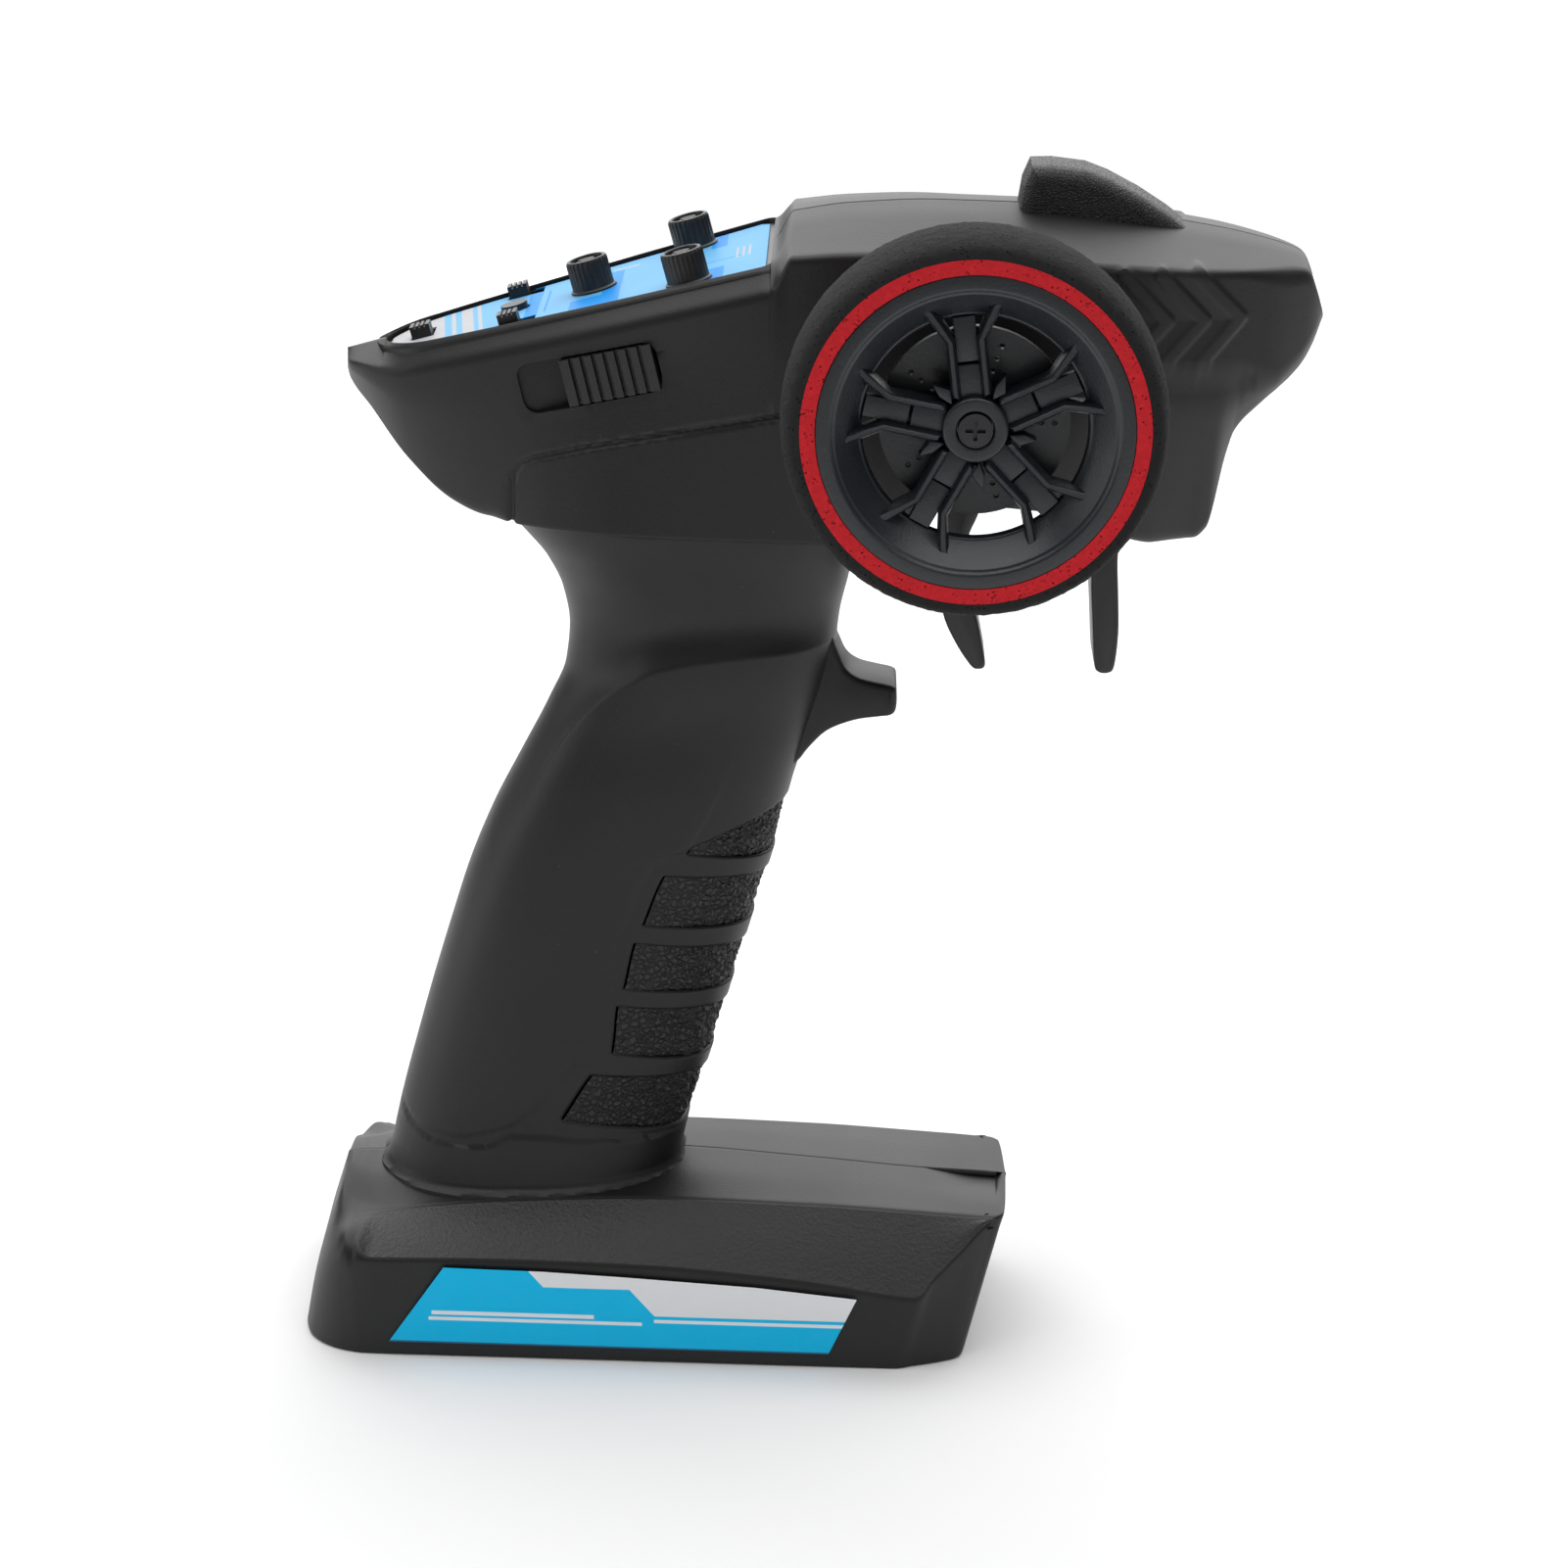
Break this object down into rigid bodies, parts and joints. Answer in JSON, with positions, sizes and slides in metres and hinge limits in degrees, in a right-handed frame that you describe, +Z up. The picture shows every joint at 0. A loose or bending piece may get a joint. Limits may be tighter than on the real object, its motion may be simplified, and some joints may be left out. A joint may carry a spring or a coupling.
{
  "type": "pistol-grip radio transmitter",
  "caption": "Pistol-grip radio controller with a foam-tyred steering wheel on its right side, a finger trigger, trim knobs and a flat battery base.",
  "frame": {"origin": "middle of the battery base's flat underside, on the controller's centre plane", "axes": "+X forward, away from the user's hand; +Y to the left; +Z up; the steering wheel is on the -Y side"},
  "size_m": [0.1631, 0.089, 0.1983],
  "materials": {
    "shell": "satin",
    "pad": "matte",
    "base_shell": "satin",
    "black_plastic": "satin",
    "blue_black_plastic": "satin",
    "label": "satin",
    "base_label": "gloss",
    "panel": "satin",
    "window": "gloss",
    "board": "satin",
    "component": "satin",
    "metal": "satin",
    "can": "satin",
    "cell": "satin",
    "brass": "satin",
    "black_foam": "matte",
    "red_foam": "matte"
  },
  "bodies": {
    "housing": {"base_right": "base_shell", "base_left": "base_shell", "grip_right": "shell", "grip_left": "shell", "grip_pad_right": "pad", "grip_pad_left": "pad", "head_right": "shell", "head_left": "shell", "control_panel": "panel", "panel_label": "label", "indicator_window": "window", "panel_board": "board", "trim_pot_front_right": "component", "trim_pot_front_left": "component", "trim_pot_middle": "component", "reverse_switch_right": "component", "reverse_switch_left": "component", "power_switch": "component", "bind_switch": "component", "side_switch": "component", "main_board": "board", "radio_module": "can", "charge_jack": "metal", "antenna_cover": "shell", "antenna_element": "brass", "steering_bush": "brass", "steering_pot": "component", "steering_spring": "metal", "trigger_spring": "metal", "trigger_pin": "metal", "trigger_pot": "component", "battery_tray": "black_plastic", "battery_cell_1": "cell", "battery_cell_2": "cell", "battery_cell_3": "cell", "battery_cell_4": "cell", "battery_contacts": "metal", "case_screws": "metal", "tray_screws": "metal", "base_label": "base_label"},
    "wheel": {"wheel_rim": "blue_black_plastic", "wheel_disc": "blue_black_plastic", "red_foam_ring": "red_foam", "foam_tyre": "black_foam", "steering_shaft": "metal", "hub_screw": "metal"},
    "trigger": {"trigger_lever": "black_plastic"},
    "knob_fr": {"knob_front_right": "black_plastic"},
    "knob_fl": {"knob_front_left": "black_plastic"},
    "knob_m": {"knob_middle": "black_plastic"},
    "toggle_r": {"reverse_toggle_right": "black_plastic"},
    "toggle_l": {"reverse_toggle_left": "black_plastic"},
    "toggle_p": {"power_toggle": "black_plastic"},
    "button": {"bind_button": "black_plastic"},
    "slider": {"side_slider": "black_plastic"},
    "door": {"battery_door": "black_plastic"}
  },
  "joints": [
    {"name": "steering", "type": "hinge", "parent": "housing", "child": "wheel", "pos_m": [0.0455, -0.02, 0.1677], "axis": [0, 1, 0], "range_deg": [-35, 35], "stiffness_Nm_per_rad": 0.25},
    {"name": "trigger_pull", "type": "hinge", "parent": "housing", "child": "trigger", "pos_m": [0.057, 0, 0.149], "axis": [0, 1, 0], "range_deg": [-12, 25], "stiffness_Nm_per_rad": 0.12},
    {"name": "trim_front_right", "type": "hinge", "parent": "housing", "child": "knob_fr", "pos_m": [0.00125, -0.014, 0.17966], "axis": [-0.2768, 0, 0.9609], "range_deg": [-150, 150]},
    {"name": "trim_front_left", "type": "hinge", "parent": "housing", "child": "knob_fl", "pos_m": [0.00125, 0.014, 0.17966], "axis": [-0.2768, 0, 0.9609], "range_deg": [-150, 150]},
    {"name": "trim_middle", "type": "hinge", "parent": "housing", "child": "knob_m", "pos_m": [-0.01441, 0, 0.17515], "axis": [-0.2768, 0, 0.9609], "range_deg": [-150, 150]},
    {"name": "reverse_right", "type": "slide", "parent": "housing", "child": "toggle_r", "axis": [0.9609, 0, 0.2768], "range_m": [0, 0.0022]},
    {"name": "reverse_left", "type": "slide", "parent": "housing", "child": "toggle_l", "axis": [0.9609, 0, 0.2768], "range_m": [0, 0.0022]},
    {"name": "power_slide", "type": "slide", "parent": "housing", "child": "toggle_p", "axis": [0, 1, 0], "range_m": [0, 0.0026]},
    {"name": "bind_press", "type": "slide", "parent": "housing", "child": "button", "axis": [0.2768, 0, -0.9609], "range_m": [0, 0.0005], "stiffness_N_per_m": 1500},
    {"name": "channel_slide", "type": "slide", "parent": "housing", "child": "slider", "axis": [-0.9553, 0.1624, -0.2471], "range_m": [0, 0.007]},
    {"name": "door_lift", "type": "slide", "parent": "housing", "child": "door", "axis": [0, 0, -1], "range_m": [0, 0.012]}
  ]
}
